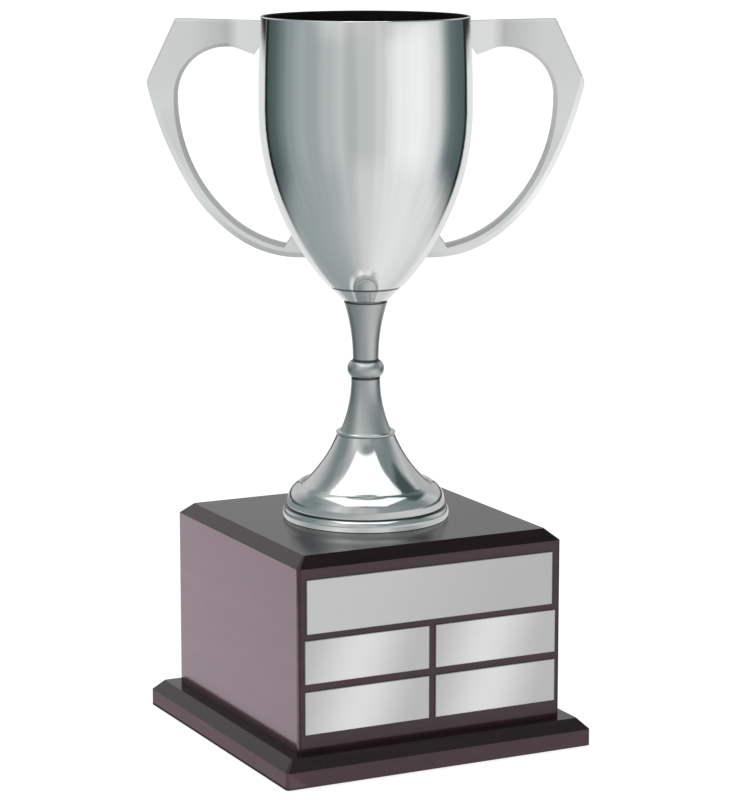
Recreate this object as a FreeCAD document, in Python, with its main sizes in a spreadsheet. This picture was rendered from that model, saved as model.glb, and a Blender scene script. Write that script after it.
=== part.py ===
import FreeCAD, Part
import math
import os

import Sketcher
from FreeCAD import Placement, Rotation, Vector

# Cup trophy on a square wooden base. Millimetres and degrees.
# The base stands on z = 0 with its name plates on the -Y side. The cup's own parts are drawn
# about an upright axis from the top of the base and then lifted and turned into place.

TABLE = (
    ("cup_turn", -26.7, "turn of the cup about its upright axis"),
    # felt, plinth and box
    ("felt_thick", 1.0, "thickness of the felt under the plinth"),
    ("felt_margin", 4.0, "how far the felt stops inside the plinth's edge"),
    ("felt_round", 3.0, "corner radius of the felt"),
    ("plinth_side", 147.4, "side of the square plinth"),
    ("plinth_bevel_low", 8.3, "height where the plinth's bevel starts"),
    ("plinth_top", 12.9, "height of the plinth's top"),
    ("plinth_bevel", 4.6, "how far the plinth's bevel leans in"),
    ("box_side", 127.0, "side of the square box"),
    ("box_bevel_low", 92.5, "height where the box's bevel starts"),
    ("box_top", 97.2, "height of the box's top"),
    ("box_bevel", 5.4, "how far the box's bevel leans in"),
    ("corner_round", 1.8, "radius of the upright corners"),
    ("bevel_round", 0.7, "corner radius at the top of a bevel"),
    ("board_thick", 12.0, "thickness of the top board"),
    ("panel_thick", 9.0, "thickness of a side panel"),
    ("block_side", 16.0, "side of a square corner block"),
    ("block_height", 68.0, "height of a corner block"),
    ("access_r", 14.0, "radius of the hole in the plinth for tightening the nut"),
    # wood screws through the plinth
    ("wood_screw_at", 46.5, "distance of a wood screw from the middle, both ways"),
    ("wood_head_r", 3.8, "head radius"),
    ("wood_head_high", 2.4, "head height"),
    ("wood_shank_r", 1.8, "shank radius"),
    ("wood_length", 28.0, "overall length"),
    ("wood_tip", 4.0, "length of the point"),
    # plates
    ("plate_thick", 0.8, "thickness of a plate"),
    ("plate_round", 0.5, "corner radius of a plate"),
    ("header_wide", 118.8, "width of the header plate"),
    ("header_high", 23.6, "height of the header plate"),
    ("header_x", -0.4, "middle of the header plate"),
    ("header_z", 76.2, "middle height of the header plate"),
    ("name_wide", 59.2, "width of a name plate"),
    ("name_high", 19.1, "height of a name plate"),
    ("name_left_x", -31.1, "middle of the left name plates"),
    ("name_right_x", 31.0, "middle of the right name plates"),
    ("name_upper_z", 52.3, "middle height of the upper name plates"),
    ("name_lower_z", 30.1, "middle height of the lower name plates"),
    # tie rod with its nuts and washers
    ("rod_r", 3.0, "radius of the tie rod"),
    ("rod_low", -24.0, "lower end of the rod below the base's top"),
    ("rod_high", 113.5, "upper end of the rod above the base's top"),
    ("rod_chamfer", 0.6, "chamfer on the rod's ends"),
    ("nut_flats", 10.0, "width across a nut's flats"),
    ("nut_high", 5.0, "height of a nut"),
    ("bowl_washer_r", 9.0, "radius of the washer in the bowl"),
    ("base_washer_r", 15.0, "radius of the washer under the top board"),
    ("washer_thick", 1.4, "thickness of the washers"),
    # foot, in radii and heights above the base's top
    ("foot_bore_r", 30.0, "inside radius of the foot's lower ring"),
    ("foot_low_r", 36.0, "radius at the very bottom"),
    ("foot_step_r", 35.7, "radius at the top of the lower ring"),
    ("foot_step_z", 5.0, "height of the lower ring"),
    ("foot_edge_curve", 3.7, "radius of the lower ring's rounded side"),
    ("tier_low_r", 34.7, "radius at the bottom of the upper ring"),
    ("tier_top_r", 30.2, "radius at the top of the upper ring"),
    ("tier_top_z", 15.0, "height of the upper ring's shoulder"),
    ("tier_curve", 8.8, "radius of the upper ring's rounded side"),
    ("tier_bore_r", 26.6, "inside radius of the upper ring"),
    ("bead_r", 29.5, "radius of the bead on the upper ring"),
    ("bead_rise", 0.6, "height of the bead above the shoulder"),
    ("skirt_low_r", 28.7, "outside radius at the skirt's foot"),
    ("skirt_low_z", 14.4, "height of the skirt's foot"),
    ("skirt_top_r", 12.9, "outside radius at the skirt's top"),
    ("skirt_top_z", 37.1, "height of the skirt's top"),
    ("skirt_curve", 58.0, "radius of the skirt's hollow side"),
    ("skirt_in_low_r", 26.9, "inside radius at the skirt's foot"),
    ("skirt_in_top_r", 12.2, "inside radius at the skirt's top"),
    ("skirt_in_top_z", 33.6, "height of the hollow under the skirt"),
    # stem
    ("ledge_r", 13.3, "radius of the thin ring on the skirt"),
    ("ledge_top_z", 38.8, "height of the thin ring's top"),
    ("stem_foot_r", 11.2, "radius at the bottom of the lower stem"),
    ("stem_waist_r", 6.4, "radius at the top of the lower stem"),
    ("stem_waist_z", 61.9, "height where the lower stem turns upright"),
    ("stem_low_curve", 58.3, "radius of the lower stem's hollow side"),
    ("knop_z", 62.5, "height of the knop ring's bottom"),
    ("knop_neck_r", 5.9, "radius of the groove under the knop ring"),
    ("knop_low_r", 6.8, "radius of the knop ring's lower edge"),
    ("knop_low_z", 63.2, "height of the knop ring's lower edge"),
    ("knop_curve", 4.5, "radius of the knop ring's round side"),
    ("knop_top_r", 5.9, "radius of the knop ring's upper edge"),
    ("knop_top_z", 70.3, "height of the knop ring's top"),
    ("stem_slim_r", 5.7, "radius at the bottom of the upper stem"),
    ("stem_head_r", 9.6, "radius at the top of the upper stem"),
    ("stem_head_z", 96.3, "height of the upper stem's top"),
    ("stem_up_curve", 83.0, "radius of the upper stem's hollow side"),
    ("collar_neck_r", 9.0, "radius of the groove under the collar"),
    ("collar_neck_z", 96.8, "height of the groove's top"),
    ("collar_low_r", 10.2, "radius of the collar's lower edge"),
    ("collar_low_z", 97.3, "height of the collar's lower edge"),
    ("collar_top_r", 15.7, "radius of the collar's upper edge"),
    ("collar_side_z", 103.0, "height of the collar's upper edge"),
    # bowl
    ("bowl_low_z", 103.4, "height of the bowl's flat bottom"),
    ("bowl_low_r", 16.6, "radius of the bowl's flat bottom"),
    ("bowl_floor_z", 105.0, "height of the floor inside"),
    ("bowl_floor_r", 16.5, "radius of the floor inside"),
    ("bowl_wall", 1.2, "thickness of the bowl's wall"),
    ("bowl_belly_r", 46.6, "widest radius"),
    ("bowl_belly_z", 180.8, "height of the widest part"),
    ("bowl_rim_r", 45.4, "radius at the rim"),
    ("bowl_rim_z", 220.8, "height of the rim"),
    ("bowl_side_curve", 115.0, "radius of the lower side"),
    ("bowl_upper_curve", 667.3, "radius of the upper side"),
    ("rim_round", 0.45, "rounding of the rim's edges"),
    # handles: distances from the cup's axis and heights above the base's top
    ("handle_half", 4.6, "half thickness of a handle"),
    ("arm_root_x", 38.0, "inner end of the upper arm before it is cut to the bowl"),
    ("arm_top_z", 218.6, "height of the arm's top at the bowl"),
    ("arm_corner_x", 82.2, "upper outer corner"),
    ("arm_corner_z", 219.7, "height of the upper outer corner"),
    ("elbow_x", 94.7, "blunt outer corner"),
    ("elbow_z", 191.2, "height of the blunt outer corner"),
    ("elbow_top_z", 193.4, "height where the elbow's short upright side starts"),
    ("out_one_x", 77.2, "end of the first outer curve"),
    ("out_one_z", 147.2, "height of the end of the first outer curve"),
    ("out_one_curve", 157.5, "radius of the first outer curve"),
    ("out_two_x", 54.6, "end of the second outer curve"),
    ("out_two_z", 123.5, "height of the end of the second outer curve"),
    ("out_two_curve", 72.4, "radius of the second outer curve"),
    ("out_end_x", 28.8, "end of the outer side"),
    ("out_end_z", 115.9, "height of the end of the outer side"),
    ("out_end_curve", 48.0, "radius of the last outer curve"),
    ("lower_root_x", 18.0, "inner end of the lower arm before it is cut to the bowl"),
    ("gusset_x", 31.8, "top of the small gusset, against the bowl"),
    ("gusset_z", 125.9, "height of the gusset's top"),
    ("gusset_foot_x", 34.6, "foot of the gusset on the lower arm"),
    ("gusset_foot_z", 121.8, "height of the gusset's foot"),
    ("in_one_x", 59.2, "end of the lowest inner curve"),
    ("in_one_z", 134.2, "height of the end of the lowest inner curve"),
    ("in_one_curve", 50.5, "radius of the lowest inner curve"),
    ("in_two_x", 81.5, "outermost point of the loop"),
    ("in_two_z", 186.9, "height of the outermost point of the loop"),
    ("in_two_curve", 69.0, "radius of the middle inner curve"),
    ("barb_x", 48.2, "tip under the upper arm"),
    ("barb_z", 204.1, "height of the tip"),
    ("barb_curve", 21.4, "radius of the curve from the loop's side to the tip"),
    ("barb_cut_x", 45.2, "top of the slanted cut beside the bowl"),
    ("barb_cut_z", 208.2, "height of the slanted cut's top"),
    ("outer_bevel", 2.4, "bevel along the curved outer side"),
    ("inner_bevel", 1.5, "bevel along the loop"),
    ("top_bevel", 0.7, "bevel along the top and the slanted side"),
    ("flare_x", 59.0, "where the upper arm starts to widen towards the bowl"),
    ("flare_low_z", 208.4, "height of the arm's underside there"),
    ("flare_end_x", 43.0, "inner end of the widening"),
    ("flare_end_low_z", 202.6, "height of the widened end's underside"),
    ("flare_half", 6.8, "half thickness at the widened end"),
    # handle screws, from inside the bowl
    ("pin_r", 1.5, "shank radius"),
    ("pin_length", 6.4, "shank length with the bowl's wall"),
    ("pin_head_r", 3.0, "head radius"),
    ("pin_head_high", 1.7, "head height"),
    ("pin_clear", 0.25, "clearance under a flat head on the curved wall"),
    ("pin_upper_z", 212.6, "height of the upper screws"),
    ("pin_upper_x", 44.95, "inside face of the wall at the upper screws"),
    ("pin_lower_z", 121.0, "height of the lower screws at the wall's inside face"),
    ("pin_lower_x", 28.4, "distance of that point from the axis"),
    ("pin_lower_tilt", 31.7, "downward tilt of the lower screws"),
)


class Size:
    """A number together with the spreadsheet expression that gives it."""

    def __init__(self, value, text):
        self.value = float(value)
        self.text = text

    def __add__(self, other):
        other = as_size(other)
        return Size(self.value + other.value, "(%s + %s)" % (self.text, other.text))

    def __sub__(self, other):
        other = as_size(other)
        return Size(self.value - other.value, "(%s - %s)" % (self.text, other.text))

    def __mul__(self, other):
        other = as_size(other)
        return Size(self.value * other.value, "(%s * %s)" % (self.text, other.text))

    def __neg__(self):
        return Size(-self.value, "(0 - %s)" % self.text)


def as_size(number):
    return number if isinstance(number, Size) else Size(number, "%g" % number)


class Dims:
    """The sheet's values by name."""


doc = FreeCAD.newDocument("cup_trophy")
sheet = doc.addObject("Spreadsheet::Sheet", "Dims")
dims = Dims()
for row, (alias, value, meaning) in enumerate(TABLE, start=1):
    sheet.set("A%d" % row, meaning)
    sheet.set("B%d" % row, str(value))
    sheet.setAlias("B%d" % row, alias)
    setattr(dims, alias, Size(value, "Dims." + alias))
doc.recompute()


# ---------------------------------------------------------------- sketches and features

def bind(item, path, size):
    """Drive one property of a feature from the sheet."""
    item.setExpression(path, size.text)


def new_body(label):
    body = doc.addObject("PartDesign::Body", label)
    body.Label = label
    return body


def origin_plane(body, role):
    return [item for item in body.Origin.OriginFeatures if item.Role == role][0]


def new_sketch(body, name, role, offset=None):
    """A sketch on one of the body's own planes, moved along its normal by offset."""
    sketch = body.newObject("Sketcher::SketchObject", name)
    sketch.AttachmentSupport = [(origin_plane(body, role), "")]
    sketch.MapMode = "FlatFace"
    if offset is not None:
        sketch.AttachmentOffset = Placement(Vector(0, 0, offset.value), Rotation())
        bind(sketch, "AttachmentOffset.Base.z", offset)
    return sketch


def hold(sketch, constraint, size):
    index = sketch.addConstraint(constraint)
    sketch.setExpression("Constraints[%d]" % index, size.text)


def hold_point(sketch, side, end, x, y):
    """Fix one end of a side at (x, y) from the sketch's origin."""
    for kind, size, axis in (("DistanceX", as_size(x), -2), ("DistanceY", as_size(y), -1)):
        if size.value == 0.0:
            sketch.addConstraint(Sketcher.Constraint("PointOnObject", side, end, axis))
        else:
            hold(sketch, Sketcher.Constraint(kind, -1, 1, side, end, size.value), size)


def arc_between(start, end, radius):
    """The short arc from start to end. A positive radius turns left, a negative one right."""
    chord = end - start
    middle = (start + end) * 0.5
    left = Vector(-chord.y, chord.x, 0).normalize()
    rise = math.sqrt(radius * radius - chord.Length * chord.Length / 4.0)
    centre = middle + left * (rise if radius > 0 else -rise)
    first, last = (start, end) if radius > 0 else (end, start)
    angles = [math.atan2(point.y - centre.y, point.x - centre.x) for point in (first, last)]
    circle = Part.Circle(centre, Vector(0, 0, 1), abs(radius))
    return Part.ArcOfCircle(circle, angles[0], angles[1])


def outline(sketch, corners):
    """A closed loop. A corner is (x, y), or (x, y, r) where the side that leaves it is an arc."""
    places = [Vector(as_size(corner[0]).value, as_size(corner[1]).value, 0) for corner in corners]
    ends = []
    for number, corner in enumerate(corners):
        start = places[number]
        end = places[(number + 1) % len(corners)]
        if len(corner) == 3:
            radius = corner[2]
            side = sketch.addGeometry(arc_between(start, end, radius.value))
            ends.append((side, 1, 2) if radius.value > 0 else (side, 2, 1))
        else:
            side = sketch.addGeometry(Part.LineSegment(start, end))
            ends.append((side, 1, 2))
    for number, (side, _, last) in enumerate(ends):
        after, first, _ = ends[(number + 1) % len(ends)]
        sketch.addConstraint(Sketcher.Constraint("Coincident", side, last, after, first))
    for number, corner in enumerate(corners):
        side, first, _ = ends[number]
        hold_point(sketch, side, first, corner[0], corner[1])
        if len(corner) == 3:
            radius = corner[2] if corner[2].value > 0 else -corner[2]
            hold(sketch, Sketcher.Constraint("Radius", side, radius.value), radius)


def circle(sketch, x, y, radius):
    side = sketch.addGeometry(Part.Circle(Vector(x.value, y.value, 0), Vector(0, 0, 1), radius.value))
    hold_point(sketch, side, 3, x, y)
    hold(sketch, Sketcher.Constraint("Radius", side, radius.value), radius)


def rounded_rectangle(sketch, half_x, half_y, radius, x=0, y=0):
    x, y = as_size(x), as_size(y)
    low_x, high_x, low_y, high_y = x - half_x, x + half_x, y - half_y, y + half_y
    outline(sketch, (
        (low_x + radius, low_y), (high_x - radius, low_y, radius),
        (high_x, low_y + radius), (high_x, high_y - radius, radius),
        (high_x - radius, high_y), (low_x + radius, high_y, radius),
        (low_x, high_y - radius), (low_x, low_y + radius, radius)))


def pad(body, sketch, length, symmetric=False):
    feature = body.newObject("PartDesign::Pad", sketch.Name + "_pad")
    feature.Profile = sketch
    feature.Length = length.value
    bind(feature, "Length", length)
    if symmetric:
        feature.SideType = "Symmetric"
    body.Tip = feature
    return feature


def pocket(body, sketch):
    feature = body.newObject("PartDesign::Pocket", sketch.Name + "_pocket")
    feature.Profile = sketch
    feature.Type = "ThroughAll"
    feature.SideType = "Symmetric"
    body.Tip = feature
    return feature


def turned(body, kind, corners, name="profile"):
    """Revolve a closed outline of (radius, height) corners about the body's upright axis."""
    sketch = new_sketch(body, body.Name + "_" + name, "XZ_Plane")
    outline(sketch, corners)
    feature = body.newObject("PartDesign::" + kind, sketch.Name + "_" + kind.lower())
    feature.Profile = sketch
    feature.ReferenceAxis = (sketch, ["V_Axis"])
    feature.Angle = 360.0
    body.Tip = feature
    return feature


def loft(body, first, second):
    feature = body.newObject("PartDesign::AdditiveLoft", first.Name + "_loft")
    feature.Profile = first
    feature.Sections = [second]
    feature.Ruled = True
    body.Tip = feature
    return feature


def dress(body, kind, base, test, path, size):
    """Fillet or chamfer the edges of base that pass the test."""
    doc.recompute()
    names = ["Edge%d" % (n + 1) for n, edge in enumerate(base.Shape.Edges) if test(edge)]
    if not names:
        raise ValueError("no edge to dress on " + body.Label)
    feature = body.newObject("PartDesign::" + kind, base.Name + "_" + kind.lower())
    feature.Base = (base, names)
    setattr(feature, path, size.value)
    bind(feature, path, size)
    body.Tip = feature
    return feature


def place(item, x=0, y=0, z=0, turn=None, angle=0.0):
    """Put an item at (x, y, z), turned about the upright axis by a sheet value or a fixed angle."""
    spots = [as_size(number) for number in (x, y, z)]
    if turn is not None:
        angle = turn.value
    item.Placement = Placement(Vector(*[spot.value for spot in spots]), Rotation(Vector(0, 0, 1), angle))
    for axis, spot in zip("xyz", spots):
        if spot.value != 0.0:
            bind(item, "Placement.Base." + axis, spot)
    if turn is not None:
        bind(item, "Placement.Rotation.Yaw", turn)


def place_on_cup(item):
    place(item, z=dims.box_top, turn=dims.cup_turn)


def cut(label, base, tool):
    feature = doc.addObject("Part::Cut", label)
    feature.Label = label
    feature.Base = base
    feature.Tool = tool
    return feature


def group(label, items):
    feature = doc.addObject("Part::Compound", label)
    feature.Label = label
    feature.Links = items
    return feature


NODES = []


def keep(item):
    NODES.append(item)
    return item


# ---------------------------------------------------------------- base

def felt():
    body = new_body("felt_sheet")
    sketch = new_sketch(body, "felt_outline", "XY_Plane")
    half = dims.plinth_side * 0.5 - dims.felt_margin
    rounded_rectangle(sketch, half, half, dims.felt_round)
    pad(body, sketch, dims.felt_thick)
    place(body)
    return keep(body)


def bevelled_board(label, side, low_z, bevel_z, top_z, lean, hole_r):
    """A square board with upright sides, a straight bevel round its top and a hole in the middle."""
    body = new_body(label)
    half = side * 0.5
    foot = new_sketch(body, label + "_foot", "XY_Plane")
    rounded_rectangle(foot, half, half, dims.corner_round)
    pad(body, foot, bevel_z - low_z)
    low = new_sketch(body, label + "_bevel_low", "XY_Plane", bevel_z - low_z)
    rounded_rectangle(low, half, half, dims.corner_round)
    high = new_sketch(body, label + "_bevel_high", "XY_Plane", top_z - low_z)
    rounded_rectangle(high, half - lean, half - lean, dims.bevel_round)
    loft(body, low, high)
    hole = new_sketch(body, label + "_hole", "XY_Plane")
    circle(hole, as_size(0), as_size(0), hole_r)
    pocket(body, hole)
    place(body, z=low_z)
    return body


def wood_screw(number, sign_x, sign_y):
    """A countersunk screw, drawn upwards from its head."""
    body = new_body("wood_screw_%d" % number)
    turned(body, "Revolution", (
        (0, 0), (dims.wood_head_r, 0), (dims.wood_shank_r, dims.wood_head_high),
        (dims.wood_shank_r, dims.wood_length - dims.wood_tip), (0, dims.wood_length)))
    at = dims.wood_screw_at
    place(body, at if sign_x > 0 else -at, at if sign_y > 0 else -at, dims.felt_thick)
    return body


def corner_block(number, sign_x, sign_y):
    box = doc.addObject("Part::Box", "corner_block_%d" % number)
    sizes = (("Length", dims.block_side), ("Width", dims.block_side), ("Height", dims.block_height))
    for path, size in sizes:
        setattr(box, path, size.value)
        bind(box, path, size)
    outer = dims.box_side * 0.5 - dims.panel_thick
    near = outer - dims.block_side
    place(box, near if sign_x > 0 else -outer, near if sign_y > 0 else -outer, dims.plinth_top)
    return box


CORNERS = ((1, -1, -1), (2, 1, -1), (3, 1, 1), (4, -1, 1))


def plinth_and_blocks():
    screws = [wood_screw(*corner) for corner in CORNERS]
    plinth_screws = keep(group("plinth_screws", screws))
    board = bevelled_board("plinth_blank", dims.plinth_side, dims.felt_thick, dims.plinth_bevel_low,
                           dims.plinth_top, dims.plinth_bevel, dims.access_r)
    keep(cut("plinth_board", board, plinth_screws))
    blocks = group("blocks_blank", [corner_block(*corner) for corner in CORNERS])
    keep(cut("corner_blocks", blocks, plinth_screws))


def top_board():
    low_z = dims.box_top - dims.board_thick
    return keep(bevelled_board("top_board", dims.box_side, low_z, dims.box_bevel_low,
                               dims.box_top, dims.box_bevel, dims.rod_r))


def side_panel(label, quarter_turns):
    """One mitred panel. It is drawn on the front and turned by quarter turns."""
    body = new_body(label)
    sketch = new_sketch(body, label + "_plan", "XY_Plane")
    half = dims.box_side * 0.5
    inner = half - dims.panel_thick
    straight = half - dims.corner_round
    mitre = straight + dims.corner_round * math.sqrt(0.5)
    outline(sketch, (
        (-straight, -half), (straight, -half, dims.corner_round), (mitre, -mitre),
        (inner, -inner), (-inner, -inner), (-mitre, -mitre, dims.corner_round)))
    pad(body, sketch, dims.box_top - dims.board_thick - dims.plinth_top)
    place(body, z=dims.plinth_top, angle=90.0 * quarter_turns)
    return keep(body)


def plate(label, wide, high, x, z):
    body = new_body(label)
    sketch = new_sketch(body, label + "_face", "XZ_Plane")
    rounded_rectangle(sketch, wide * 0.5, high * 0.5, dims.plate_round)
    pad(body, sketch, dims.plate_thick)
    place(body, x, -(dims.box_side * 0.5), z)
    return keep(body)


# ---------------------------------------------------------------- tie rod

def tie_rod():
    body = new_body("tie_rod")
    thin = dims.rod_r - dims.rod_chamfer
    turned(body, "Revolution", (
        (0, dims.rod_low), (thin, dims.rod_low), (dims.rod_r, dims.rod_low + dims.rod_chamfer),
        (dims.rod_r, dims.rod_high - dims.rod_chamfer), (thin, dims.rod_high), (0, dims.rod_high)))
    place_on_cup(body)
    return keep(body)


def washer(label, radius, low_z):
    body = new_body(label)
    high_z = low_z + dims.washer_thick
    turned(body, "Revolution", (
        (dims.rod_r, low_z), (radius, low_z), (radius, high_z), (dims.rod_r, high_z)))
    place_on_cup(body)
    return keep(body)


def nut(label, low_z):
    """A hexagon nut whose flats carry the usual turned corners at both ends."""
    prism = doc.addObject("Part::Prism", label + "_prism")
    prism.Polygon = 6
    across_corners = dims.nut_flats * (1.0 / math.sqrt(3.0))
    prism.Circumradius = across_corners.value
    prism.Height = dims.nut_high.value
    bind(prism, "Circumradius", across_corners)
    bind(prism, "Height", dims.nut_high)
    place(prism, z=low_z)
    rounder = new_body(label + "_rounder")
    flat = dims.nut_flats * 0.5
    middle = low_z + dims.nut_high * 0.5
    wide = flat + dims.nut_high
    turned(rounder, "Revolution", (
        (dims.rod_r, low_z), (flat, low_z), (wide, middle), (flat, low_z + dims.nut_high),
        (dims.rod_r, low_z + dims.nut_high)))
    feature = doc.addObject("Part::Common", label)
    feature.Label = label
    feature.Base = prism
    feature.Tool = rounder
    place_on_cup(feature)
    return keep(feature)


# ---------------------------------------------------------------- foot and stem

def foot_base():
    body = new_body("foot_base")
    turned(body, "Revolution", (
        (dims.foot_bore_r, 0), (dims.foot_low_r, 0, dims.foot_edge_curve),
        (dims.foot_step_r, dims.foot_step_z), (dims.foot_bore_r, dims.foot_step_z)))
    place_on_cup(body)
    return keep(body)


def foot_ring():
    body = new_body("foot_ring")
    turned(body, "Revolution", (
        (dims.tier_bore_r, dims.foot_step_z), (dims.tier_low_r, dims.foot_step_z, dims.tier_curve),
        (dims.tier_top_r, dims.tier_top_z), (dims.bead_r, dims.tier_top_z + dims.bead_rise),
        (dims.skirt_low_r, dims.tier_top_z), (dims.skirt_low_r, dims.skirt_low_z),
        (dims.tier_bore_r, dims.skirt_low_z)))
    place_on_cup(body)
    return keep(body)


def foot_skirt():
    body = new_body("foot_skirt")
    turned(body, "Revolution", (
        (dims.skirt_low_r, dims.skirt_low_z, -dims.skirt_curve),
        (dims.skirt_top_r, dims.skirt_top_z), (dims.rod_r, dims.skirt_top_z),
        (dims.rod_r, dims.skirt_in_top_z), (dims.skirt_in_top_r, dims.skirt_in_top_z, dims.skirt_curve),
        (dims.skirt_in_low_r, dims.skirt_low_z)))
    place_on_cup(body)
    return keep(body)


def skirt_ledge():
    body = new_body("skirt_ledge")
    edge = (dims.ledge_top_z - dims.skirt_top_z) * 0.5
    turned(body, "Revolution", (
        (dims.rod_r, dims.skirt_top_z), (dims.ledge_r - edge, dims.skirt_top_z, edge * 1.01),
        (dims.ledge_r - edge, dims.ledge_top_z), (dims.rod_r, dims.ledge_top_z)))
    place_on_cup(body)
    return keep(body)


def stem_lower():
    body = new_body("stem_lower")
    turned(body, "Revolution", (
        (dims.rod_r, dims.ledge_top_z), (dims.stem_foot_r, dims.ledge_top_z, -dims.stem_low_curve),
        (dims.stem_waist_r, dims.stem_waist_z), (dims.stem_waist_r, dims.knop_z),
        (dims.rod_r, dims.knop_z)))
    place_on_cup(body)
    return keep(body)


def stem_knop():
    body = new_body("stem_knop")
    turned(body, "Revolution", (
        (dims.rod_r, dims.knop_z), (dims.knop_neck_r, dims.knop_z),
        (dims.knop_neck_r, dims.knop_low_z), (dims.knop_low_r, dims.knop_low_z, dims.knop_curve),
        (dims.knop_top_r, dims.knop_top_z), (dims.rod_r, dims.knop_top_z)))
    place_on_cup(body)
    return keep(body)


def stem_upper():
    body = new_body("stem_upper")
    turned(body, "Revolution", (
        (dims.rod_r, dims.knop_top_z), (dims.stem_slim_r, dims.knop_top_z, -dims.stem_up_curve),
        (dims.stem_head_r, dims.stem_head_z), (dims.rod_r, dims.stem_head_z)))
    place_on_cup(body)
    return keep(body)


def bowl_collar():
    body = new_body("bowl_collar")
    turned(body, "Revolution", (
        (dims.rod_r, dims.stem_head_z), (dims.collar_neck_r, dims.stem_head_z),
        (dims.collar_neck_r, dims.collar_neck_z), (dims.collar_low_r, dims.collar_low_z),
        (dims.collar_top_r, dims.collar_side_z), (dims.collar_top_r, dims.bowl_low_z),
        (dims.rod_r, dims.bowl_low_z)))
    place_on_cup(body)
    return keep(body)


# ---------------------------------------------------------------- bowl, handles and their screws

def bowl_blank():
    """The spun shell: a flat bottom, a long curved side and a slight swell below the rim."""
    body = new_body("bowl_blank")
    wall = dims.bowl_wall
    shell = turned(body, "Revolution", (
        (dims.rod_r, dims.bowl_low_z), (dims.bowl_low_r, dims.bowl_low_z, dims.bowl_side_curve),
        (dims.bowl_belly_r, dims.bowl_belly_z, dims.bowl_upper_curve),
        (dims.bowl_rim_r, dims.bowl_rim_z),
        (dims.bowl_rim_r - wall, dims.bowl_rim_z, wall - dims.bowl_upper_curve),
        (dims.bowl_belly_r - wall, dims.bowl_belly_z, wall - dims.bowl_side_curve),
        (dims.bowl_floor_r, dims.bowl_floor_z), (dims.rod_r, dims.bowl_floor_z)))
    top = dims.bowl_rim_z.value

    def on_rim(edge):
        return abs(edge.BoundBox.ZMin - top) < 0.01 and edge.BoundBox.ZLength < 0.01

    dress(body, "Fillet", shell, on_rim, "Radius", dims.rim_round)
    return body


def handle_blank():
    """One handle: a flat casting with bevelled sides and an upper arm that widens to the bowl."""
    body = new_body("handle_blank")
    face = new_sketch(body, "handle_face", "XZ_Plane")
    outline(face, (
        (dims.lower_root_x, dims.out_end_z), (dims.out_end_x, dims.out_end_z, dims.out_end_curve),
        (dims.out_two_x, dims.out_two_z, dims.out_two_curve),
        (dims.out_one_x, dims.out_one_z, dims.out_one_curve), (dims.elbow_x, dims.elbow_z),
        (dims.elbow_x, dims.elbow_top_z), (dims.arm_corner_x, dims.arm_corner_z),
        (dims.arm_root_x, dims.arm_top_z), (dims.arm_root_x, dims.barb_cut_z),
        (dims.barb_cut_x, dims.barb_cut_z), (dims.barb_x, dims.barb_z, -dims.barb_curve),
        (dims.in_two_x, dims.in_two_z, -dims.in_two_curve),
        (dims.in_one_x, dims.in_one_z, -dims.in_one_curve),
        (dims.gusset_foot_x, dims.gusset_foot_z), (dims.gusset_x, dims.gusset_z),
        (dims.lower_root_x, dims.gusset_z)))
    slab = pad(body, face, dims.handle_half * 2.0, symmetric=True)

    def on_face(edge):
        return edge.BoundBox.YLength < 0.01 and edge.BoundBox.XMax > dims.gusset_foot_x.value + 8

    def curved_out(edge):
        if not on_face(edge) or not hasattr(edge.Curve, "Radius"):
            return False
        wanted = (dims.out_one_curve.value, dims.out_two_curve.value, dims.out_end_curve.value)
        return any(abs(edge.Curve.Radius - radius) < 0.01 for radius in wanted)

    def curved_in(edge):
        if not on_face(edge) or not hasattr(edge.Curve, "Radius"):
            return False
        wanted = (dims.in_one_curve.value, dims.in_two_curve.value, dims.barb_curve.value)
        return any(abs(edge.Curve.Radius - radius) < 0.01 for radius in wanted)

    outer = dress(body, "Chamfer", slab, curved_out, "Size", dims.outer_bevel)
    inner = dress(body, "Chamfer", outer, curved_in, "Size", dims.inner_bevel)

    def straight_out(edge):
        middle = edge.valueAt((edge.FirstParameter + edge.LastParameter) / 2)
        above = middle.z > dims.elbow_z.value + 1 and middle.x > dims.arm_corner_x.value - 30
        return edge.BoundBox.YLength < 0.01 and edge.Curve.TypeId == "Part::GeomLine" and above

    dress(body, "Chamfer", inner, straight_out, "Size", dims.top_bevel)

    start = new_sketch(body, "flare_start", "YZ_Plane", dims.flare_x)
    start_half = dims.handle_half - 0.02
    outline(start, (
        (-start_half, dims.flare_low_z), (start_half, dims.flare_low_z),
        (start_half, dims.arm_top_z), (-start_half, dims.arm_top_z)))
    end = new_sketch(body, "flare_end", "YZ_Plane", dims.flare_end_x)
    outline(end, (
        (-dims.flare_half, dims.flare_end_low_z), (dims.flare_half, dims.flare_end_low_z),
        (dims.flare_half, dims.arm_top_z), (-dims.flare_half, dims.arm_top_z)))
    loft(body, start, end)

    slit = new_sketch(body, "barb_cut", "XZ_Plane")
    outline(slit, (
        (dims.arm_root_x - 5, dims.barb_z - 12), (dims.barb_x, dims.barb_z - 12),
        (dims.barb_x, dims.barb_z), (dims.barb_cut_x, dims.barb_cut_z),
        (dims.arm_root_x - 5, dims.barb_cut_z)))
    pocket(body, slit)

    turned(body, "Groove", (
        (0, dims.bowl_low_z), (dims.bowl_low_r, dims.bowl_low_z, dims.bowl_side_curve),
        (dims.bowl_belly_r, dims.bowl_belly_z, dims.bowl_upper_curve),
        (dims.bowl_rim_r, dims.bowl_rim_z), (0, dims.bowl_rim_z)), "bowl_seat")
    return body


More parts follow.
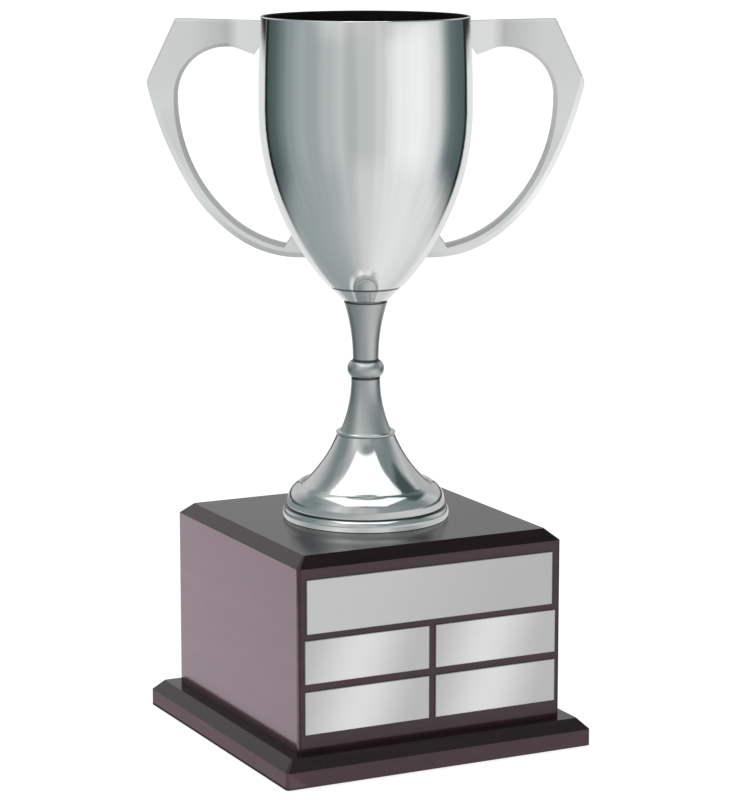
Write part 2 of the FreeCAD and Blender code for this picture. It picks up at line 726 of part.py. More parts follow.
def pin_part(name, radius, length, back, upper, turn):
    """A cylinder on the line of one handle screw, starting "back" inside the wall's inner face."""
    item = doc.addObject("Part::Cylinder", name)
    item.Radius = radius.value
    item.Height = length.value
    bind(item, "Radius", radius)
    bind(item, "Height", length)
    tilt = 0.0 if upper else dims.pin_lower_tilt.value
    x = dims.pin_upper_x.value if upper else dims.pin_lower_x.value
    z = dims.pin_upper_z.value if upper else dims.pin_lower_z.value
    along = Vector(math.cos(math.radians(tilt)), 0, -math.sin(math.radians(tilt)))
    line_up = Placement(Vector(x, 0, z) - along * back.value, Rotation(Vector(0, 0, 1), along))
    item.Placement = Placement(Vector(), Rotation(Vector(0, 0, 1), turn)).multiply(line_up)
    return item


def handle_screws():
    shanks = []
    screws = []
    for side, turn in (("right", 0.0), ("left", 180.0)):
        for level, upper in (("upper", True), ("lower", False)):
            name = "%s_%s" % (side, level)
            shank = pin_part(name + "_shank", dims.pin_r, dims.pin_length, dims.pin_clear, upper, turn)
            head = pin_part(name + "_head", dims.pin_head_r, dims.pin_head_high,
                            dims.pin_clear + dims.pin_head_high, upper, turn)
            doc.recompute()
            rounded = doc.addObject("Part::Fillet", name + "_rounded")
            rounded.Base = head
            rounded.Edges = [(pick_inner_edge(head), 1.0, 1.0)]
            screw = doc.addObject("Part::Fuse", name + "_screw")
            screw.Base = rounded
            screw.Tool = shank
            shanks.append(shank)
            screws.append(screw)
    return group("shanks", shanks), group("handle_screws", screws)


def pick_inner_edge(head):
    """Number of the head's circular edge that lies nearest the cup's axis."""
    rims = [(abs(edge.CenterOfMass.x) + abs(edge.CenterOfMass.z - 400) * 0.001, n + 1)
            for n, edge in enumerate(head.Shape.Edges)
            if edge.isClosed() and edge.BoundBox.DiagonalLength > 1]
    return min(rims)[1]


def cup():
    shanks, screws = handle_screws()
    bowl = keep(cut("bowl", bowl_blank(), shanks))
    place_on_cup(bowl)
    blank = handle_blank()
    for label, half_turn in (("right_handle", 0.0), ("left_handle", 180.0)):
        turned_blank = doc.addObject("Part::Compound", label + "_blank")
        turned_blank.Links = [blank]
        turned_blank.Placement = Placement(Vector(), Rotation(Vector(0, 0, 1), half_turn))
        handle = keep(cut(label, turned_blank, shanks))
        place_on_cup(handle)
    place_on_cup(screws)
    keep(screws)


# ---------------------------------------------------------------- assembly

felt()
plinth_and_blocks()
for quarter, side in enumerate(("front", "right", "back", "left")):
    side_panel(side + "_panel", quarter)
top_board()
plate("header_plate", dims.header_wide, dims.header_high, dims.header_x, dims.header_z)
plate("name_plate_1", dims.name_wide, dims.name_high, dims.name_left_x, dims.name_upper_z)
plate("name_plate_2", dims.name_wide, dims.name_high, dims.name_right_x, dims.name_upper_z)
plate("name_plate_3", dims.name_wide, dims.name_high, dims.name_left_x, dims.name_lower_z)
plate("name_plate_4", dims.name_wide, dims.name_high, dims.name_right_x, dims.name_lower_z)
foot_base()
foot_ring()
foot_skirt()
skirt_ledge()
stem_lower()
stem_knop()
stem_upper()
bowl_collar()
cup()
tie_rod()
washer("bowl_washer", dims.bowl_washer_r, dims.bowl_floor_z)
nut("bowl_nut", dims.bowl_floor_z + dims.washer_thick)
washer("base_washer", dims.base_washer_r, -(dims.board_thick + dims.washer_thick))
nut("base_nut", -(dims.board_thick + dims.washer_thick + dims.nut_high))
doc.recompute()

for item in doc.Objects:
    if "Invalid" in item.State or "Error" in item.State:
        raise RuntimeError("%s did not build: %s" % (item.Name, item.State))
for item in NODES:
    if item.Shape.isNull() or not item.Shape.isValid() or not item.Shape.Solids:
        raise RuntimeError("%s has no valid solid" % item.Label)

os.makedirs("parts", exist_ok=True)
for item in NODES:
    item.Shape.exportStep("parts/%s.step" % item.Label)
    box = item.Shape.BoundBox
    print("%-16s %d solid(s) %10.1f mm3  z %.2f to %.2f" % (
        item.Label, len(item.Shape.Solids), item.Shape.Volume, box.ZMin, box.ZMax))
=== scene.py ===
import math

import bmesh
import bpy
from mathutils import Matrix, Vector


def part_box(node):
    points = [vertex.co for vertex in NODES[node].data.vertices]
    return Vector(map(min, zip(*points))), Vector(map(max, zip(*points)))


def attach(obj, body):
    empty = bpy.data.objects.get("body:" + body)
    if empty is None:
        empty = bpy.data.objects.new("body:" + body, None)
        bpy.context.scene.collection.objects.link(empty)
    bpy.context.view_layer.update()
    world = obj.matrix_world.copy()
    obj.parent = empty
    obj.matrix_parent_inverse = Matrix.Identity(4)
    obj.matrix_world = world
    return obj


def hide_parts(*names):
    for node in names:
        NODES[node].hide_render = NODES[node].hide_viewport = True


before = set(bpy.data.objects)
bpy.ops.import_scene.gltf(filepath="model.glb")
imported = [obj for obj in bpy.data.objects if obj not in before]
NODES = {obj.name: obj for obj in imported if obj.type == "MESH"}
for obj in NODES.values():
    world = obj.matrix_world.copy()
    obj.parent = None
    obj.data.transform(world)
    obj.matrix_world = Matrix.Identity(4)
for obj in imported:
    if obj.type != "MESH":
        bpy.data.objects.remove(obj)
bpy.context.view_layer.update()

# Nodes that share a finish.
FOOT = ["foot_base", "foot_ring", "foot_skirt", "skirt_ledge"]
STEM = ["stem_lower", "stem_knop", "stem_upper"]
COLLAR = ["bowl_collar"]
HANDLES = ["left_handle", "right_handle"]
WOOD = ["plinth_board", "top_board", "front_panel", "right_panel", "back_panel", "left_panel"]
NAME_PLATES = ["name_plate_1", "name_plate_2", "name_plate_3", "name_plate_4"]
STEEL = ["plinth_screws", "handle_screws", "tie_rod", "bowl_washer", "bowl_nut", "base_washer", "base_nut"]

# Directions round the trophy. The cup faces the viewer, who stands left of the base's front.
VIEW_TURN = math.radians(-26.69)
VIEW_RISE = math.radians(10.34)
TOWARDS = Vector((math.sin(VIEW_TURN), -math.cos(VIEW_TURN), 0.0))
RIGHTWARDS = Vector((math.cos(VIEW_TURN), math.sin(VIEW_TURN), 0.0))
UP = Vector((0.0, 0.0, 1.0))
RIGHT_ANGLE = math.pi / 2


# ---------------------------------------------------------------- node helpers

class Nodes:
    """A material or world node tree, with short ways to add and join nodes."""

    def __init__(self, tree):
        self.tree = tree
        tree.nodes.clear()

    def add(self, kind, inputs=None, **settings):
        node = self.tree.nodes.new(kind)
        for name, value in settings.items():
            setattr(node, name, value)
        for name, value in (inputs or {}).items():
            self.feed(node, name, value)
        return node

    def feed(self, node, name, value):
        """Join a socket to the input, or set the input to a plain value."""
        socket = node.inputs[name]
        if isinstance(value, bpy.types.NodeSocket):
            self.tree.links.new(value, socket)
        else:
            socket.default_value = value

    def math(self, operation, a, b=0.0):
        return self.add("ShaderNodeMath", {0: a, 1: b}, operation=operation).outputs[0]

    def apart(self, a, b):
        """How far apart two values are."""
        return self.math("ABSOLUTE", self.math("SUBTRACT", a, b))

    def blend(self, share, a, b):
        return self.add("ShaderNodeMix", {0: share, 6: a, 7: b}, data_type="RGBA").outputs[2]

    def range(self, value, from_low, from_high, to_low, to_high, smooth=False):
        ends = {0: value, 1: from_low, 2: from_high, 3: to_low, 4: to_high}
        easing = "SMOOTHSTEP" if smooth else "LINEAR"
        return self.add("ShaderNodeMapRange", ends, interpolation_type=easing).outputs[0]

    def vary(self, noise, low, high):
        """A value that goes from low to high over the middle part of a noise's spread."""
        return self.range(noise, 0.3, 0.7, low, high)

    def ramp(self, value, stops):
        node = self.add("ShaderNodeValToRGB", {0: value})
        line = node.color_ramp
        while len(line.elements) < len(stops):
            line.elements.new(0.5)
        for element, (place, colour) in zip(line.elements, stops):
            element.position = place
            element.color = colour
        return node.outputs[0]

    def coordinates(self, kind):
        return self.add("ShaderNodeTexCoord").outputs[kind]

    def place(self, scale=(1, 1, 1)):
        """Object coordinates in metres, stretched."""
        source = self.coordinates("Object")
        return self.add("ShaderNodeMapping", {"Vector": source, "Scale": scale}).outputs[0]

    def split(self, vector):
        """The three parts of a vector."""
        return self.add("ShaderNodeSeparateXYZ", {0: vector}).outputs

    def from_axis(self, parts):
        """The distance of a split place from the cup's axis."""
        across = self.math("POWER", parts[0], 2.0)
        along = self.math("POWER", parts[1], 2.0)
        return self.math("SQRT", self.math("ADD", across, along))

    def noise(self, vector, scale, detail=2.0, roughness=0.5, distortion=0.0):
        return self.add("ShaderNodeTexNoise", {"Vector": vector, "Scale": scale, "Detail": detail,
                                               "Roughness": roughness, "Distortion": distortion}).outputs[0]

    def bump(self, shader, strength, distance, height):
        """Roughen the shader's surface by a height."""
        relief = self.add("ShaderNodeBump", {"Strength": strength, "Distance": distance, "Height": height})
        self.feed(shader, "Normal", relief.outputs[0])


def new_material(name, shader_kind="ShaderNodeBsdfPrincipled"):
    material = bpy.data.materials.new(name)
    material.use_nodes = True
    nodes = Nodes(material.node_tree)
    shader = nodes.add(shader_kind)
    nodes.add("ShaderNodeOutputMaterial", {"Surface": shader.outputs[0]})
    return material, nodes, shader


def grey(value):
    return (value, value, value, 1.0)


def paint(material, *names):
    for name in names:
        NODES[name].data.materials.clear()
        NODES[name].data.materials.append(material)


# ------------------------------------------------------------------- materials

def seam_shade_levels():
    """Heights of the seams between the turned parts of the cup's stand, where shade is painted, and how far
    the painted shade at each one reaches.
    """
    knop, collar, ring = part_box("stem_knop"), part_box("bowl_collar"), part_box("foot_ring")
    return [(knop[0].z, 0.0009), (knop[1].z, 0.0008), (collar[0].z, 0.0006), (collar[1].z, 0.0014),
            (ring[0].z, 0.0004)]


def nickel(name, low, high, rough, ripple, seams=()):
    """Plated metal: a cloudy tone, turned lines round the axis, a slight ripple and painted shade, dull and
    dark, at the seams between parts.
    """
    rough_spread, rough_lines = 0.02, 0.012
    seam_shade_colour, seam_shade_strength, seam_roughness = grey(0.04), 0.85, 0.4
    swell_height, line_height = 0.9, 0.02
    material, nodes, shader = new_material(name)
    shader.inputs["Metallic"].default_value = 1.0
    place = nodes.place()
    clouds = nodes.noise(place, 22.0, 3.0)
    colour = nodes.blend(clouds, low, high)
    roughness = nodes.vary(clouds, rough - rough_spread, rough + rough_spread)
    level = nodes.split(place)[2]
    for seam, reach in seams:
        # Painted shade: each seam darkens to a near-black grey, in place of the shade in the gap between
        # parts.
        near = nodes.range(nodes.apart(level, seam), reach * 0.4, reach, seam_shade_strength, 0.0, True)
        colour = nodes.blend(near, colour, seam_shade_colour)
        roughness = nodes.math("MAXIMUM", roughness, nodes.math("MULTIPLY", near, seam_roughness))
    nodes.feed(shader, "Base Color", colour)
    lines = nodes.noise(nodes.place((8, 8, 2600)), 1.0, 2.0)
    lines_share = nodes.range(lines, 0.2, 0.8, -rough_lines, rough_lines)
    nodes.feed(shader, "Roughness", nodes.math("ADD", roughness, lines_share))
    swell = nodes.noise(place, 60.0, 1.0)
    height = nodes.math("ADD", nodes.math("MULTIPLY", swell, swell_height),
                        nodes.math("MULTIPLY", lines, line_height))
    nodes.bump(shader, ripple, 0.0004, height)
    return material


def bowl_lining():
    """The inside of the bowl: painted shade, near black, under the rim, and dull grey metal further down."""
    painted_shade_depth, dull_depth = 0.016, 0.034
    material, nodes, shader = new_material("bowl_lining")
    rim_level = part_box("bowl")[1].z
    place = nodes.place()
    clouds = nodes.noise(place, 45.0, 4.0)
    level = nodes.split(place)[2]
    # Painted shade: the lining is near black under the rim, where the inside lies in shade, and turns to
    # dull grey metal further down.
    deep = nodes.range(level, rim_level - painted_shade_depth, rim_level - dull_depth, 0.0, 1.0, True)
    black = nodes.blend(clouds, (0.0030, 0.0024, 0.0022, 1), (0.0070, 0.0060, 0.0056, 1))
    dull = nodes.blend(clouds, (0.46, 0.455, 0.445, 1), (0.54, 0.535, 0.525, 1))
    nodes.feed(shader, "Base Color", nodes.blend(deep, black, dull))
    nodes.feed(shader, "Metallic", nodes.math("MULTIPLY", deep, 0.8))
    nodes.feed(shader, "Roughness", nodes.vary(clouds, 0.36, 0.50))
    shader.inputs["Specular IOR Level"].default_value = 0.2
    lines = nodes.noise(nodes.place((8, 8, 1800)), 1.0, 2.0)
    nodes.bump(shader, 0.2, 0.0002, lines)
    return material


def satin_nickel():
    """Fine blasted plating. The upper arms are painted brighter next to the bowl and darker just beyond, as
    painted highlight and painted shade.
    """
    arm_start, arm_end = 0.045, 0.095
    arm_depth, arm_fade = 0.022, 0.035
    material, nodes, shader = new_material("satin_nickel")
    shader.inputs["Metallic"].default_value = 0.8
    shader.inputs["Specular IOR Level"].default_value = 0.3
    place = nodes.place()
    clouds = nodes.noise(place, 28.0, 2.0)
    parts = nodes.split(place)
    along_arm = nodes.range(nodes.from_axis(parts), arm_start, arm_end, 0.0, 1.0)
    # Painted highlight and shade along the upper arms: bright next to the bowl, darker just beyond, then the
    # ordinary tone.
    arm_painted_light = nodes.ramp(along_arm, [(0.0, grey(0.90)), (0.20, grey(0.88)), (0.30, grey(0.60)),
                                 (0.40, grey(0.66)), (0.60, grey(0.76)), (1.0, grey(0.78))])
    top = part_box("left_handle")[1].z
    upper = nodes.range(parts[2], top - arm_fade, top - arm_depth, 0.0, 1.0, True)
    mild = nodes.blend(nodes.range(clouds, 0.35, 0.65, 0.0, 1.0, True), grey(0.74), grey(0.81))
    nodes.feed(shader, "Base Color", nodes.blend(upper, mild, arm_painted_light))
    grain = nodes.noise(nodes.place(), 2400.0, 2.0)
    nodes.feed(shader, "Roughness", nodes.vary(grain, 0.38, 0.46))
    nodes.bump(shader, 0.15, 0.0001, grain)
    return material


def lacquered_wood():
    """Dark stained wood under a thin satin lacquer. The bevels and the top are painted darker than the
    upright faces, as painted shade.
    """
    material, nodes, shader = new_material("lacquered_wood")
    rings = nodes.noise(nodes.place((6, 6, 60)), 3.0, 6.0, 0.6, 0.8)
    pores = nodes.noise(nodes.place((40, 40, 900)), 1.0, 3.0)
    dark = nodes.ramp(rings, [(0.30, (0.018, 0.0080, 0.0090, 1)), (0.5, (0.023, 0.0100, 0.0115, 1)),
                              (0.72, (0.029, 0.0130, 0.0150, 1))])
    maroon = nodes.ramp(rings, [(0.30, (0.034, 0.012, 0.017, 1)), (0.5, (0.043, 0.015, 0.022, 1)),
                                (0.72, (0.052, 0.019, 0.027, 1))])
    # Painted shade: faces that tip away from upright, the top and the bevels, take the darker tone.
    tilt = nodes.math("ABSOLUTE", nodes.split(nodes.coordinates("Normal"))[2])
    colour = nodes.blend(nodes.range(tilt, 0.1, 0.4, 0.0, 1.0, True), maroon, dark)
    colour = nodes.blend(nodes.range(pores, 0.58, 0.72, 0.0, 0.35), colour, (0.010, 0.004, 0.005, 1))
    nodes.feed(shader, "Base Color", colour)
    nodes.feed(shader, "Roughness", nodes.vary(rings, 0.45, 0.6))
    shader.inputs["Specular IOR Level"].default_value = 0.0
    shader.inputs["Coat Weight"].default_value = 1.0
    shader.inputs["Coat Roughness"].default_value = 0.16
    shader.inputs["Coat IOR"].default_value = 1.5
    return material


def silver_sheet(node, dull, bright, middle, spread):
    """Satin sheet with a painted highlight about the middle, which leans a little and fades towards the
    ends.
    """
    lean = 0.10
    material, nodes, shader = new_material("silver_sheet_" + node)
    shader.inputs["Metallic"].default_value = 1.0
    low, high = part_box(node)
    parts = nodes.split(nodes.coordinates("Object"))
    across = nodes.range(parts[0], low.x, high.x, 0.0, 1.0)
    upward = nodes.range(parts[2], low.z, high.z, 0.0, 1.0)
    drift = nodes.math("MULTIPLY", nodes.math("SUBTRACT", upward, 0.5), lean)
    away = nodes.apart(nodes.math("SUBTRACT", across, middle), drift)
    # Painted highlight: brightest about the given middle, fading to the dull tone over the spread.
    painted_highlight = nodes.range(away, 0.0, spread, 1.0, 0.0, True)
    brush = nodes.noise(nodes.place((30, 30, 5000)), 1.0, 2.0)
    tone = nodes.math("ADD", painted_highlight, nodes.vary(brush, -0.06, 0.06))
    nodes.feed(shader, "Base Color", nodes.blend(tone, grey(dull), grey(bright)))
    nodes.feed(shader, "Roughness", nodes.vary(brush, 0.26, 0.34))
    nodes.bump(shader, 0.1, 0.0001, brush)
    return material


def plain_steel():
    """Zinc-plated steel with a fine spangle."""
    material, nodes, shader = new_material("zinc_steel")
    shader.inputs["Metallic"].default_value = 1.0
    spangle = nodes.noise(nodes.place(), 500.0, 3.0)
    nodes.feed(shader, "Base Color", nodes.blend(spangle, (0.50, 0.51, 0.52, 1), (0.66, 0.67, 0.66, 1)))
    nodes.feed(shader, "Roughness", nodes.vary(spangle, 0.3, 0.45))
    return material


def raw_wood():
    """Sawn pale wood with upright grain."""
    material, nodes, shader = new_material("raw_pine")
    rings = nodes.noise(nodes.place((60, 60, 8)), 3.0, 4.0, 0.6, 0.5)
    tones = nodes.ramp(rings, [(0.3, (0.50, 0.33, 0.18, 1)), (0.7, (0.70, 0.52, 0.32, 1))])
    nodes.feed(shader, "Base Color", tones)
    nodes.feed(shader, "Roughness", nodes.vary(rings, 0.6, 0.75))
    return material


def black_felt():
    """Matt black fibres."""
    material, nodes, shader = new_material("black_felt")
    fibre = nodes.noise(nodes.place(), 3000.0, 4.0)
    nodes.feed(shader, "Base Color", nodes.blend(fibre, (0.008, 0.009, 0.009, 1), (0.03, 0.032, 0.03, 1)))
    shader.inputs["Roughness"].default_value = 0.95
    nodes.bump(shader, 0.6, 0.0003, fibre)
    return material


# The seams of the cup's stand, where painted shade darkens the metal.
SHADED_SEAMS = seam_shade_levels()
paint(nickel("foot_nickel", (0.60, 0.63, 0.625, 1), (0.69, 0.715, 0.71, 1), 0.12, 0.25, SHADED_SEAMS), *FOOT)
paint(nickel("stem_nickel", (0.48, 0.51, 0.505, 1), (0.56, 0.59, 0.585, 1), 0.34, 0.25, SHADED_SEAMS), *STEM)
paint(nickel("collar_nickel", (0.80, 0.82, 0.815, 1), (0.88, 0.90, 0.895, 1), 0.14, 0.2, SHADED_SEAMS), *COLLAR)
paint(satin_nickel(), *HANDLES)
WOOD_FINISH = lacquered_wood()
paint(WOOD_FINISH, *WOOD)
paint(plain_steel(), *STEEL)
paint(raw_wood(), "corner_blocks")
paint(black_felt(), "felt_sheet")


# ---------------------------------------------------------------- new pieces

def add_piece(name, mesh, node):
    """A visible piece that stands for one CAD node, which is hidden in its place."""
    piece = bpy.data.objects.new(name, mesh)
    bpy.context.scene.collection.objects.link(piece)
    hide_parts(node)
    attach(piece, "root")
    return piece


def bowl_piece():
    """The bowl, polished outside; inside, the lining with its painted shade under the rim."""
    outside, inside = 0, 1
    polish = nickel("polished_nickel", (0.86, 0.88, 0.875, 1), (0.92, 0.935, 0.93, 1), 0.068, 0.2)
    mesh = NODES["bowl"].data.copy()
    mesh.materials.clear()
    mesh.materials.append(polish)
    mesh.materials.append(bowl_lining())
    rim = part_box("bowl")[1]
    for face in mesh.polygons:
        middle, normal = face.center, face.normal
        reach = math.hypot(middle.x, middle.y)
        outward = (normal.x * middle.x + normal.y * middle.y) / max(reach, 1e-6)
        floor = normal.z > 0.7 and reach < rim.x * 0.9
        face.material_index = inside if outward < -0.25 or floor else outside
    return add_piece("bowl_shell", mesh, "bowl")


def eased_board(node, ease):
    """A board whose upper edges are rounded a little, as lacquered edges are."""
    underside_margin, outer_share, sharp = 0.001, 0.6, math.radians(20)
    low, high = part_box(node)
    net = bmesh.new()
    net.from_mesh(NODES[node].data)
    bmesh.ops.dissolve_limit(net, angle_limit=math.radians(0.5), verts=net.verts, edges=net.edges)

    def eased(edge):
        above = min(v.co.z for v in edge.verts) > low.z + underside_margin
        outside = all(max(abs(v.co.x), abs(v.co.y)) > outer_share * high.x for v in edge.verts)
        return above and outside and len(edge.link_faces) == 2 and edge.calc_face_angle(0.0) > sharp

    bmesh.ops.bevel(net, geom=[edge for edge in net.edges if eased(edge)], offset=ease, offset_type="OFFSET",
                    segments=3, profile=0.5, affect="EDGES", clamp_overlap=True)
    mesh = bpy.data.meshes.new(node + "_eased")
    net.to_mesh(mesh)
    net.free()
    if "custom_normal" in mesh.attributes:
        mesh.attributes.remove(mesh.attributes["custom_normal"])
    mesh.materials.clear()
    mesh.materials.append(WOOD_FINISH)
    return add_piece(node + "_eased", mesh, node)


def plate_piece(node, dull, bright, middle, spread):
    """A sheet-metal plate with round corners and a rolled-over front edge."""
    low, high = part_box(node)
    corner, edge, steps = 0.0006, 0.0004, 5
    corners = ((high.x, high.z, 0), (low.x, high.z, 90), (low.x, low.z, 180), (high.x, low.z, 270))
    part_way = edge * 0.3
    rings = []
    for inset, depth in ((0.0, high.y), (0.0, low.y + edge), (part_way, low.y + part_way), (edge, low.y)):
        outline = []
        for x, z, first_angle in corners:
            centre_x = x + (-corner if x == high.x else corner)
            centre_z = z + (-corner if z == high.z else corner)
            for step in range(steps + 1):
                angle = math.radians(first_angle + 90 * step / steps)
                radius = corner - inset
                outline.append((centre_x + radius * math.cos(angle), depth,
                                centre_z + radius * math.sin(angle)))
        rings.append(outline)
    count, last = len(rings[0]), len(rings) - 1
    faces = [tuple(range(count)), tuple(reversed(range(last * count, (last + 1) * count)))]
    for start in range(0, last * count, count):
        for here in range(count):
            beside = (here + 1) % count
            faces.append((start + beside, start + here, start + count + here, start + count + beside))
    mesh = bpy.data.meshes.new(node + "_sheet")
    mesh.from_pydata([point for outline in rings for point in outline], [], faces)
    mesh.materials.append(silver_sheet(node, dull, bright, middle, spread))
    return add_piece(node + "_sheet", mesh, node)


EDGE_EASE = 0.0006
bowl = bowl_piece()
top_board, plinth_board = [eased_board(node, EDGE_EASE) for node in ("top_board", "plinth_board")]
# Each plate's dull and bright tones, and the place and width of its painted highlight.
plates = [plate_piece("header_plate", 0.535, 0.63, 0.05, 0.9)]
plates += [plate_piece(node, 0.56, 0.83, 0.43, 0.5) for node in NAME_PLATES]


# ------------------------------------------------------------- floor and tent

def flat_square(name, reach, level):
    """A level square about the cup's axis."""
    mesh = bpy.data.meshes.new(name)
    mesh.from_pydata([(-reach, -reach, level), (reach, -reach, level), (reach, reach, level),
                      (-reach, reach, level)], [], [(0, 1, 2, 3)])
    square = bpy.data.objects.new(name, mesh)
    bpy.context.scene.collection.objects.link(square)
    return square


def make_floor():
    """A pale floor, lit evenly from within and absent from mirrors, which see the tent's lower part."""
    floor = flat_square("floor", 20.0, 0.0)
    material, nodes, shader = new_material("pale_floor")
    clouds = nodes.noise(nodes.place(), 1.5, 2.0)
    nodes.feed(shader, "Base Color", nodes.blend(clouds, grey(0.55), grey(0.58)))
    shader.inputs["Roughness"].default_value = 0.9
    shader.inputs["Specular IOR Level"].default_value = 0.0
    shader.inputs["Emission Color"].default_value = grey(1.0)
    shader.inputs["Emission Strength"].default_value = 0.88
    floor.data.materials.append(material)
    floor.visible_glossy = False


def calm_reflections():
    """The bowl mirrors the tent, and neither its own handles nor the screws in them."""
    for name in HANDLES + ["handle_screws"]:
        NODES[name].visible_glossy = False


# The tent round the trophy: brightness by bearing in degrees from the viewer, rightwards.
# TABLE is what shows below the level of the cup's foot, and NEAR is the table close to the foot.
# WALLS, UPPER, CEILING and HEIGHT follow each other upwards.
WALLS = [(-180, 0.80), (-139, 0.80), (-136.5, 0.02), (-132, 0.02), (-129, 0.09), (-112, 0.14), (-101, 0.22),
         (-92, 0.31), (-74, 0.42), (-58, 0.39), (-44, 0.50), (-28, 0.55), (-13, 0.50), (4, 0.58), (20, 0.68),
         (33, 0.88), (55, 0.95), (72, 0.88), (86, 0.72), (97, 0.30), (106, 0.17), (122, 0.13),
         (132, 0.11), (134, 0.02), (139, 0.02), (141.5, 0.80), (180, 0.80)]
TABLE = [(-180, 0.85), (-150, 0.85), (-138, 0.42), (-110, 0.36), (-80, 0.38), (-50, 0.42), (-25, 0.52),
         (0, 0.66), (25, 0.78), (50, 0.82), (90, 0.76), (125, 0.66), (150, 0.85), (180, 0.85)]
NEAR = [(-180, 0.60), (-72, 0.80), (-56, 0.70), (-46, 0.50), (-36, 0.60), (-26, 0.80), (-20, 1.00),
        (-12, 0.85), (-3, 0.70), (8, 0.85), (16, 0.85), (22, 0.58), (35, 0.50), (46, 0.70), (72, 0.80),
        (180, 0.60)]
UPPER = [(-180, 0.60), (-165, 0.62), (-152, 0.76), (-142, 0.74), (-125, 0.55), (-106, 0.33), (-80, 0.33),
         (-60, 0.55), (-42, 0.92), (-30, 0.75), (-20, 0.64), (12, 0.62), (24, 0.42), (47, 0.40), (66, 0.34),
         (88, 0.32), (100, 0.36), (112, 0.60), (125, 0.74), (145, 0.60), (180, 0.60)]
CEILING = [(-180, 0.30), (-135, 0.42), (-106, 0.32), (-75, 0.48), (-45, 0.70), (-20, 0.70), (-4, 0.36),
           (25, 0.33), (85, 0.32), (98, 0.11), (125, 0.11), (150, 0.25), (180, 0.30)]
HEIGHT = [(-180, 0.50), (-155, 0.80), (-70, 0.80), (-35, 0.66), (-10, 0.40), (25, 0.34), (85, 0.32),
          (98, 0.11), (125, 0.11), (150, 0.25), (180, 0.50)]


def tone(value):
    """The tent is a cool grey-green where it is dark, and neutral where it is bright."""
    cool = 1.0 - 0.33 * max(0.0, 1.0 - value / 0.6)
    return (value * cool, value, value, 1.0)


def bearing_share(nodes, vector):
    """The bearing of a vector from the viewer, as a share of the full turn."""
    def along(axis):
        node = nodes.add("ShaderNodeVectorMath", {0: vector, 1: tuple(axis)}, operation="DOT_PRODUCT")
        return node.outputs["Value"]

    bearing = nodes.math("ARCTAN2", along(RIGHTWARDS), along(TOWARDS))
    return nodes.range(bearing, -math.pi, math.pi, 0.0, 1.0)


def ring(nodes, share, stops):
    """The tent's colour round one level."""
    return nodes.ramp(share, [((bearing + 180) / 360, tone(value)) for bearing, value in stops])


def streaked(nodes, share, colour, depth):
    """The colour with faint upright streaks, as from folds in the cloth of the tent."""
    folds = nodes.add("ShaderNodeTexNoise", {"W": share, "Scale": 32.0, "Detail": 4.0},
                      noise_dimensions="1D")
    gain = nodes.range(folds.outputs[0], 0.25, 0.75, 1.0 - depth, 1.0 + depth)
    return nodes.add("ShaderNodeVectorMath", {0: colour, "Scale": gain}, operation="SCALE").outputs["Vector"]


def make_world():
    """The tent. The camera itself sees plain white behind the trophy."""
    world = bpy.data.worlds.new("studio")
    bpy.context.scene.world = world
    world.use_nodes = True
    nodes = Nodes(world.node_tree)
    direction = nodes.coordinates("Generated")
    share = bearing_share(nodes, direction)
    rise = nodes.split(direction)[2]

    def above(low, high):
        return nodes.range(rise, math.sin(math.radians(low)), math.sin(math.radians(high)), 0.0, 1.0, True)

    walls = ring(nodes, share, WALLS)
    # Behind the cup the tent is dark just above the level of the handles.
    backward = nodes.range(nodes.apart(share, 0.5), 0.375, 0.39, 0.0, 1.0, True)
    behind = nodes.math("MULTIPLY", backward, above(-3.2, -1.4))
    walls = nodes.blend(behind, walls, grey(0.03))
    tent = nodes.blend(above(-34, -17), ring(nodes, share, TABLE), walls)
    tent = nodes.blend(above(1, 6), tent, ring(nodes, share, UPPER))
    tent = nodes.blend(above(32, 40), tent, ring(nodes, share, CEILING))
    tent = nodes.blend(above(44, 60), tent, ring(nodes, share, HEIGHT))
    seen = nodes.add("ShaderNodeLightPath").outputs["Is Camera Ray"]
    colour = nodes.blend(seen, streaked(nodes, share, tent, 0.06), grey(1.0))
    background = nodes.add("ShaderNodeBackground", {"Color": colour, "Strength": 1.0})
    nodes.add("ShaderNodeOutputWorld", {"Surface": background.outputs[0]})


def make_table_card():
    """A card level with the cup's foot, which only the polished metal above it can mirror."""
    reach, fade_start, lift = 0.21, 0.14, 0.0002
    near_end, far_start = 0.041, 0.049
    card = flat_square("table_card", reach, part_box("top_board")[1].z + lift)
    material, nodes, mix = new_material("table_card", "ShaderNodeMixShader")
    place = nodes.coordinates("Object")
    share = bearing_share(nodes, place)
    distance = nodes.from_axis(nodes.split(place))
    near = nodes.range(distance, near_end, far_start, 1.0, 0.0, True)
    colour = nodes.blend(near, ring(nodes, share, TABLE), ring(nodes, share, NEAR))
    glow = nodes.add("ShaderNodeEmission", {"Color": streaked(nodes, share, colour, 0.02), "Strength": 1.0})
    clear = nodes.add("ShaderNodeBsdfTransparent")
    under = nodes.add("ShaderNodeNewGeometry").outputs["Backfacing"]
    fade = nodes.math("MAXIMUM", under, nodes.range(distance, fade_start, reach, 0.0, 1.0, True))
    nodes.feed(mix, 0, fade)
    nodes.feed(mix, 1, glow.outputs[0])
    nodes.feed(mix, 2, clear.outputs[0])
    card.data.materials.append(material)
    card.visible_camera = card.visible_diffuse = card.visible_transmission = card.visible_shadow = False


# --------------------------------------------------------------------- lights

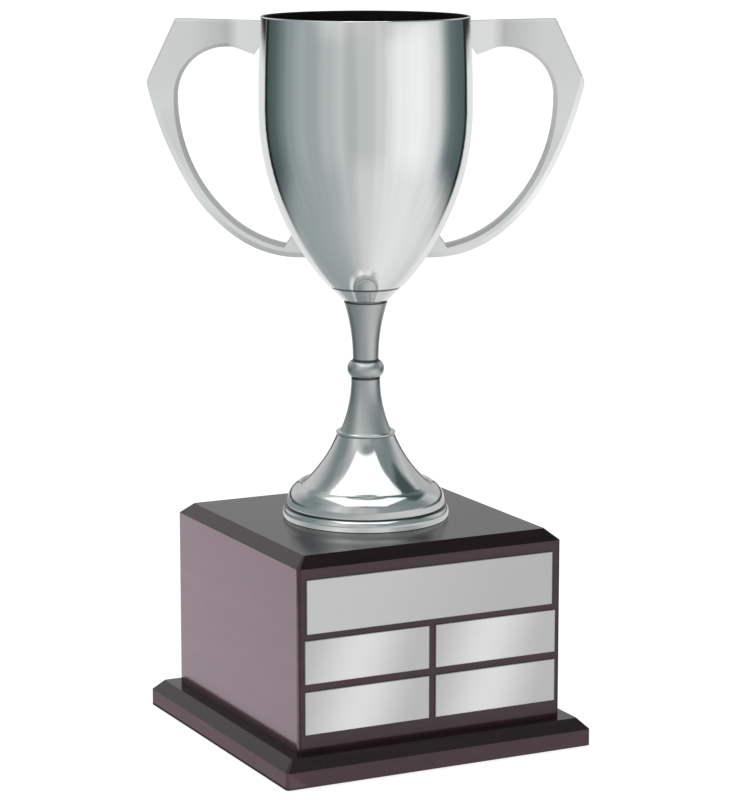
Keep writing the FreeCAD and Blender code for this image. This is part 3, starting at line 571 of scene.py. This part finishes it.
def area_light(name, centre, turn, size, radiance, receivers, colour=(1, 1, 1)):
    """A flat panel of even brightness, facing down before it is turned, which lights only its receivers."""
    width, length = size
    data = bpy.data.lights.new(name, "AREA")
    data.shape = "RECTANGLE"
    data.size, data.size_y = width, length
    data.energy = radiance * math.pi * width * length
    data.color = colour
    light = bpy.data.objects.new(name, data)
    bpy.context.scene.collection.objects.link(light)
    light.location = centre
    light.rotation_euler = turn
    light.visible_camera = False
    group = bpy.data.collections.new(name + "_receivers")
    for item in receivers:
        group.objects.link(item)
    light.light_linking.receiver_collection = group


def light_stand(foot):
    """A wide panel over the cup for its foot, stem and collar."""
    stand = [NODES[name] for name in FOOT + STEM + COLLAR]
    area_light("overhead_panel", foot + TOWARDS * 0.385 + UP, (0, 0, VIEW_TURN), (1.35, 1.17), 1.36, stand)


def light_base():
    """Bright sheets on the table at the left of the base, one for the box and one for the plinth."""
    width, length, gap, forward, lift = 0.30, 0.80, 0.001, 0.05, 0.002
    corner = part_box("left_panel")[0]
    centre = Vector((corner.x - gap - width / 2, corner.y - forward + length / 2, lift))
    upward, rosy = (math.pi, 0, 0), (1.0, 0.87, 0.95)
    area_light("side_sheet", centre, upward, (width, length), 1.72, [NODES["left_panel"], top_board], rosy)
    area_light("plinth_sheet", centre, upward, (width, length), 0.58, [plinth_board], rosy)


def light_handles(foot):
    """Soft panels on every side of the handles but the back."""
    handles = [NODES[name] for name in HANDLES]
    level, upright_size = UP * 0.2, (1.0, 0.8)
    for name, way, turn, radiance in (("front_fill", TOWARDS * 1.1, 0.0, 0.17),
                                      ("left_fill", RIGHTWARDS * -0.8, -RIGHT_ANGLE, 0.36),
                                      ("right_fill", RIGHTWARDS * 0.8, RIGHT_ANGLE, 0.36)):
        area_light(name, way + level, (RIGHT_ANGLE, 0, VIEW_TURN + turn), upright_size, radiance, handles)
    area_light("top_fill", foot + UP * 0.9, (0, 0, VIEW_TURN), (1.0, 1.0), 0.5, handles)
    area_light("table_glow", UP * 0.003, (math.pi, 0, VIEW_TURN), (1.4, 1.4), 0.36, handles)


def light_bowl():
    """A small lamp over the rim, for the inside of the bowl."""
    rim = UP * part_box("bowl")[1].z
    area_light("bowl_inside_light", rim + UP * 0.12, (0, 0, VIEW_TURN), (0.06, 0.06), 4.0, [bowl])


def light_plates():
    """A panel before and above the base, tilted towards its plates."""
    centre, tilt = Vector((0.0, -0.5, 0.75)), math.radians(35)
    area_light("plate_top_light", centre, (tilt, 0, 0), (0.8, 0.4), 1.5, plates)


def make_lights():
    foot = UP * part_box("foot_base")[0].z
    light_stand(foot)
    light_base()
    light_handles(foot)
    light_bowl()
    light_plates()


# ---------------------------------------------------------------------- camera

def make_camera():
    """A long lens on the viewer's side, looking slightly down at the trophy's middle."""
    distance, target = 1.3208, RIGHTWARDS * 0.0019 + UP * 0.14934
    data = bpy.data.cameras.new("camera")
    data.sensor_width = 36.0
    data.lens = 134.5
    data.clip_start, data.clip_end = 0.05, 100.0
    camera = bpy.data.objects.new("camera", data)
    bpy.context.scene.collection.objects.link(camera)
    back = TOWARDS * math.cos(VIEW_RISE) + UP * math.sin(VIEW_RISE)
    camera.location = target + back * distance
    camera.rotation_mode = "QUATERNION"
    camera.rotation_quaternion = (-back).to_track_quat("-Z", "Y")
    bpy.context.scene.camera = camera


make_floor()
calm_reflections()
make_world()
make_table_card()
make_lights()
make_camera()
bpy.context.scene.view_settings.view_transform = "Standard"
bpy.context.scene.view_settings.look = "None"
